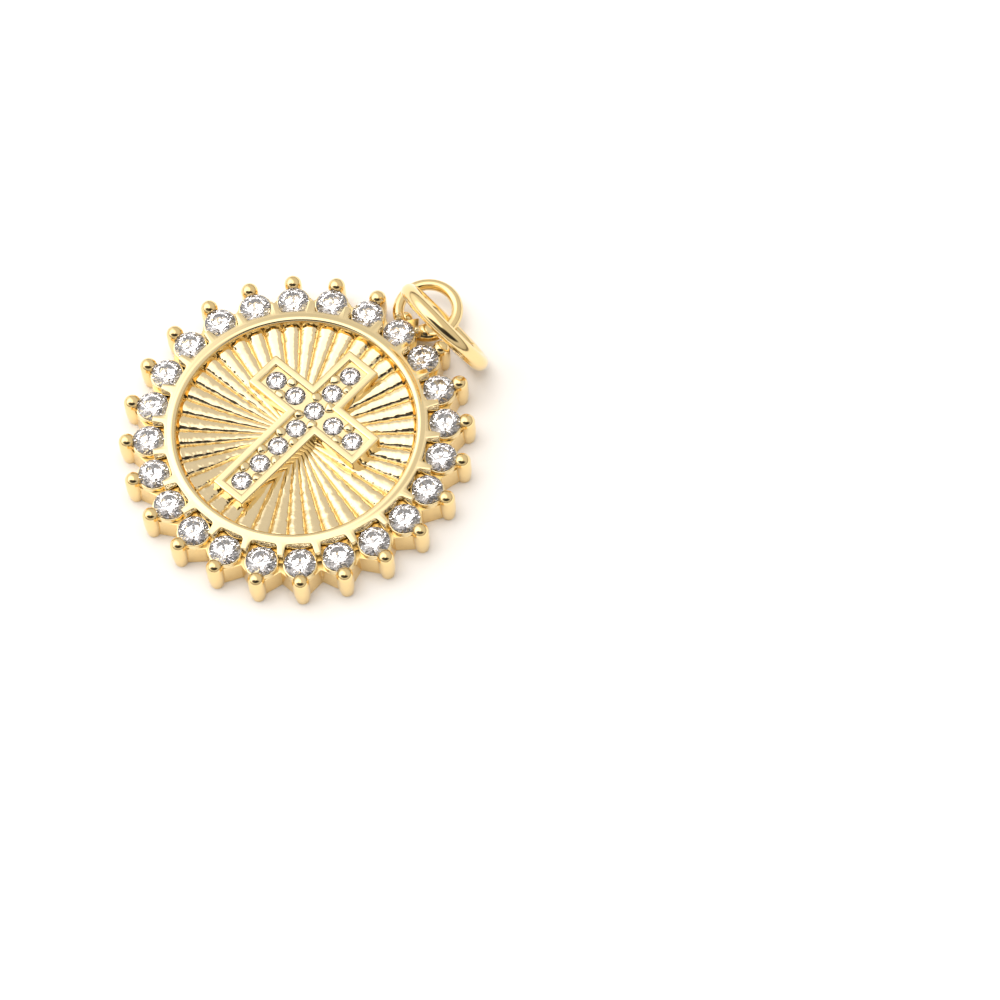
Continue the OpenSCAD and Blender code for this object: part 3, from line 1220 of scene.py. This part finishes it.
@dataclass
class Studio:
    """The white floor, the soft lights and the camera."""

    azimuth: float = 49.411
    elevation: float = 61.964
    roll: float = -7.217
    distance: float = 400.0
    focal_px: float = 7831.0
    image_px: float = 1000.0
    shift_px: tuple[float, float] = (-203.52, -69.22)
    aim: tuple[float, float, float] = (0.0, DISC_Y, 1.85)
    horizon: tuple[float, float, float] = (0.72, 0.7, 0.67)
    zenith: tuple[float, float, float] = (0.79, 0.75, 0.7)
    bands: tuple[tuple[float, tuple[float, float, float]], ...] = (
        (0.02, (0.7, 0.68, 0.65)),
        (0.045, (0.09, 0.065, 0.045)),
        (0.09, (0.09, 0.065, 0.045)),
        (0.14, (0.55, 0.51, 0.46)),
        (0.3, (0.7, 0.675, 0.645)),
    )
    glows: tuple[tuple[float, float, tuple[float, float], float], ...] = (
        (322.8, 60.0, (0.66, 0.84), 0.95),
        (290.0, 24.0, (0.6, 0.85), 0.45),
    )
    slit_azimuth: float = 36.0
    slit_side: tuple[float, float] = (0.24, 0.4)
    slit_low: tuple[float, float] = (0.44, 0.52)
    slit_high: tuple[float, float] = (0.94, 0.9)
    slit_depth: float = 0.95
    floor_half_m: float = 0.6
    floor_colour: tuple[float, float, float] = (0.93, 0.905, 0.88)
    floor_roughness: float = 0.85
    floor_shine: float = 0.1

    def camera(self) -> Object:
        """Makes the camera at the photograph's angle.

        Returns:
            The camera.
        """
        a, r = math.radians(self.azimuth), math.radians(self.roll)
        back = self.toward(self.azimuth, self.elevation)
        right = Vector((math.cos(a), math.sin(a), 0.0))
        up = back.cross(right)
        right, up = (
            math.cos(r) * right + math.sin(r) * up,
            -math.sin(r) * right + math.cos(r) * up,
        )
        scale = self.distance / self.focal_px
        place = Vector(self.aim) + back * self.distance
        place += up * self.shift_px[1] * scale - right * self.shift_px[0] * scale
        data = bpy.data.cameras.new("camera")
        data.lens = self.focal_px * data.sensor_width / self.image_px
        data.clip_start, data.clip_end = 0.01, 10.0
        made = bpy.data.objects.new("camera", data)
        rotation = Matrix((right, up, back)).transposed().to_4x4()
        made.matrix_world = Matrix.Translation(place * MM) @ rotation
        bpy.context.scene.collection.objects.link(made)
        bpy.context.scene.camera = made
        return made

    def floor(self) -> Object:
        """Makes the white floor.

        Returns:
            The floor.
        """
        bm = bmesh.new()
        bmesh.ops.create_grid(bm, x_segments=2, y_segments=2, size=self.floor_half_m)
        mesh = bpy.data.meshes.new("floor")
        bm.to_mesh(mesh)
        bm.free()
        material = bpy.data.materials.new("white_floor")
        material.use_nodes = True
        shader = material.node_tree.nodes["Principled BSDF"]
        shader.inputs["Base Color"].default_value = (*self.floor_colour, 1.0)
        shader.inputs["Roughness"].default_value = self.floor_roughness
        shader.inputs["Specular IOR Level"].default_value = self.floor_shine
        mesh.materials.append(material)
        made = bpy.data.objects.new("floor", mesh)
        bpy.context.scene.collection.objects.link(made)
        return made

    def lamp(
        self, name: str, azimuth: float, elevation: float, power: float, size: float, far: float
    ) -> Object:
        """Makes a soft lamp that faces the pendant.

        Args:
            name: its name.
            azimuth: direction it stands in, in degrees, as the camera's is counted.
            elevation: angle above the floor, in degrees.
            power: its power in watts.
            size: width of its square face, in metres.
            far: its distance in metres.

        Returns:
            The lamp.
        """
        back = self.toward(azimuth, elevation)
        data = bpy.data.lights.new(name, "AREA")
        data.shape, data.size, data.energy = "SQUARE", size, power
        made = bpy.data.objects.new(name, data)
        made.matrix_world = Matrix.LocRotScale(back * far, (-back).to_track_quat("-Z", "Y"), None)
        bpy.context.scene.collection.objects.link(made)
        return made

    @staticmethod
    def toward(azimuth: float, elevation: float) -> Vector:
        """Direction of a place in the room, with its azimuth counted as the camera's is."""
        a, e = math.radians(azimuth), math.radians(elevation)
        return Vector((math.sin(a) * math.cos(e), -math.cos(a) * math.cos(e), math.sin(e)))

    def world(self) -> None:
        """Makes the room: bright above and at the left, with the dark slit of the camera."""
        world = bpy.data.worlds.new("studio")
        world.use_nodes = True
        bpy.context.scene.world = world
        nodes, links = world.node_tree.nodes, world.node_tree.links
        coords = nodes.new("ShaderNodeTexCoord")
        split = nodes.new("ShaderNodeSeparateXYZ")
        ramp = nodes.new("ShaderNodeValToRGB")
        ramp.color_ramp.elements[0].color = (*self.horizon, 1.0)
        ramp.color_ramp.elements[-1].color = (*self.zenith, 1.0)
        for place, colour in self.bands:
            ramp.color_ramp.elements.new(place).color = (*colour, 1.0)
        links.new(coords.outputs["Generated"], split.inputs[0])
        links.new(split.outputs["Z"], ramp.inputs["Fac"])

        def facing(direction: Vector, reach: tuple[float, float], most: float) -> NodeSocket:
            """Makes a soft patch of the room.

            Args:
                direction: where its middle is.
                reach: cosines of the angles at which it starts and is full.
                most: its value where it is full.

            Returns:
                The socket with its value, which is 0 outside the patch.
            """
            turned = nodes.new("ShaderNodeVectorMath")
            turned.operation = "DOT_PRODUCT"
            turned.inputs[1].default_value = direction
            links.new(coords.outputs["Generated"], turned.inputs[0])
            return eased(turned.outputs["Value"], reach, most)

        def eased(value: NodeSocket, reach: tuple[float, float], most: float) -> NodeSocket:
            """Makes a smooth step.

            Args:
                value: the socket that it follows.
                reach: where it starts and where it is full.
                most: its value where it is full.

            Returns:
                The socket with the step.
            """
            step = nodes.new("ShaderNodeMapRange")
            step.interpolation_type = "SMOOTHSTEP"
            step.inputs["From Min"].default_value, step.inputs["From Max"].default_value = reach
            step.inputs["To Max"].default_value = most
            links.new(value, step.inputs["Value"])
            return step.outputs["Result"]

        lit = ramp.outputs["Color"]
        for azimuth, elevation, reach, strength in self.glows:
            glow = nodes.new("ShaderNodeVectorMath")
            glow.operation = "ADD"
            patch = facing(self.toward(azimuth, elevation), reach, strength)
            links.new(patch, glow.inputs[0])
            links.new(lit, glow.inputs[1])
            lit = glow.outputs["Vector"]
        shade = facing(self.toward(self.slit_azimuth, 0.0), self.slit_side, 1.0)
        for reach, most in ((self.slit_low, 1.0), (self.slit_high, self.slit_depth)):
            both = nodes.new("ShaderNodeMath")
            both.operation = "MULTIPLY"
            links.new(shade, both.inputs[0])
            links.new(eased(split.outputs["Z"], reach, most), both.inputs[1])
            shade = both.outputs[0]
        left = nodes.new("ShaderNodeMath")
        left.operation = "SUBTRACT"
        left.inputs[0].default_value = 1.0
        links.new(shade, left.inputs[1])
        links.new(lit, nodes["Background"].inputs["Color"])
        links.new(left.outputs[0], nodes["Background"].inputs["Strength"])

    def build(self) -> None:
        """Sets up the whole studio."""
        bpy.context.scene.view_settings.view_transform = "Standard"
        self.camera()
        self.floor()
        self.world()
        overhead = self.lamp(
            "overhead", azimuth=0.0, elevation=90.0, power=2.8, size=0.6, far=0.8
        )
        overhead.visible_glossy = False


def main() -> None:
    """Builds the pendant and the studio."""
    logging.basicConfig(level=logging.INFO, format="%(name)s %(message)s")
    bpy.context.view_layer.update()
    group = surface_group()
    finishes = {kind: kind.value.material(group) for kind in Finish}
    # The post finish is the gold with painted warm shade; the loop and the jump ring take it too
    polished, post = finishes[Finish.POLISHED], finishes[Finish.POST_PAINTED_SHADE]
    posts, cross = Posts(), StoneCross()
    BackPlate().build(finishes[Finish.CAST])
    posts.build(post)
    posts.build_side_beads(polished)
    Collars().build(polished)
    RimAndProngs().build(polished)
    SunburstDial().build(finishes[Finish.DIAL])
    cross.build(polished)
    cross.build_beads(polished)
    SolderedLoop().build(post)
    JumpRing().build(post)
    log.info("stones: %d", Stones().dress())
    Studio().build()


if __name__ == "__main__":
    main()
